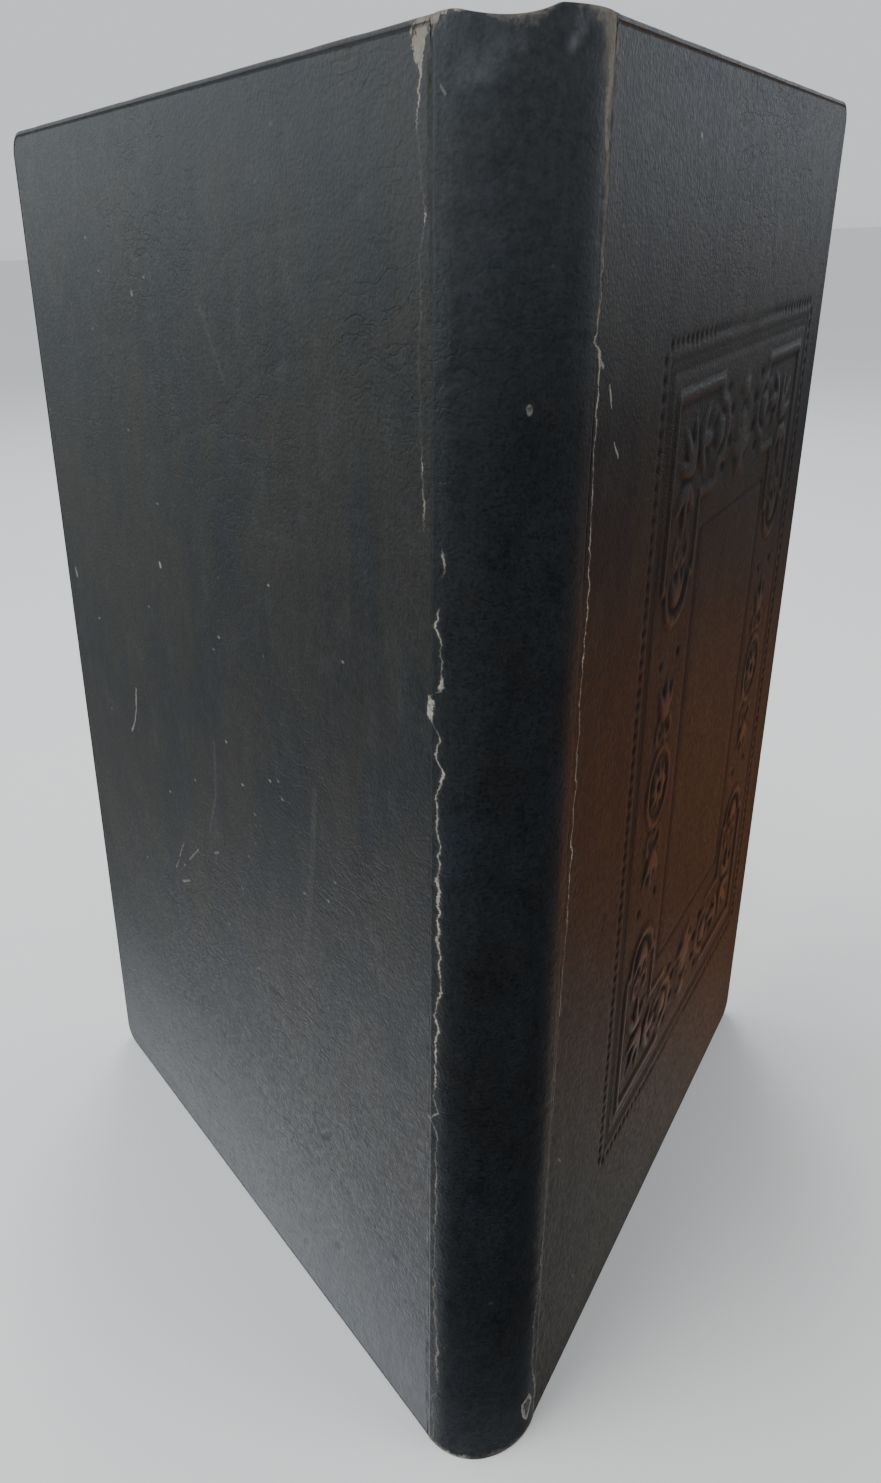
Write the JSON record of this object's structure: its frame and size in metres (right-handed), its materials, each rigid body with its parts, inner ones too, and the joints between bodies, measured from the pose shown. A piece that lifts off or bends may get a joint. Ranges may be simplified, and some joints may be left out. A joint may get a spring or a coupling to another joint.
{
  "type": "antique leather book",
  "caption": "Tall thin antique book in worn dark leather, standing with both covers ajar, its front cover blind tooled with a framed panel.",
  "frame": {"origin": "on the surface the book stands on, midway between the two joints of the spine", "axes": "+Z from tail to head, +Y from the spine towards the fore edge, +X towards the front cover"},
  "size_m": [0.253, 0.2192, 0.34],
  "materials": {
    "leather": "worn, near black calf",
    "pages": "toned laid paper",
    "endpaper": "toned plain paper",
    "pasteboard": "rough grey-brown board",
    "linen": "plain woven tape",
    "lining": "glued waste paper",
    "headband_thread": "sewn thread"
  },
  "bodies": {
    "book_block": {"text_block": "pages", "sewing_tapes": "linen", "spine_lining": "lining", "headband": "headband_thread", "tailband": "headband_thread", "spine_leather": "leather", "front_flyleaf": "endpaper", "back_flyleaf": "endpaper"},
    "front_cover": {"front_board": "pasteboard", "front_leather": "leather", "front_pastedown": "endpaper", "front_tape_slips": "linen"},
    "back_cover": {"back_board": "pasteboard", "back_leather": "leather", "back_pastedown": "endpaper", "back_tape_slips": "linen"}
  },
  "joints": [
    {"name": "front_cover_hinge", "type": "hinge", "parent": "book_block", "child": "front_cover", "pos_m": [0.0155, 0, 0], "axis": [0, 0, -1], "range_deg": [-41.87, 133.13]},
    {"name": "back_cover_hinge", "type": "hinge", "parent": "book_block", "child": "back_cover", "pos_m": [-0.0155, 0, 0], "axis": [0, 0, 1], "range_deg": [-21.92, 153.08]}
  ]
}
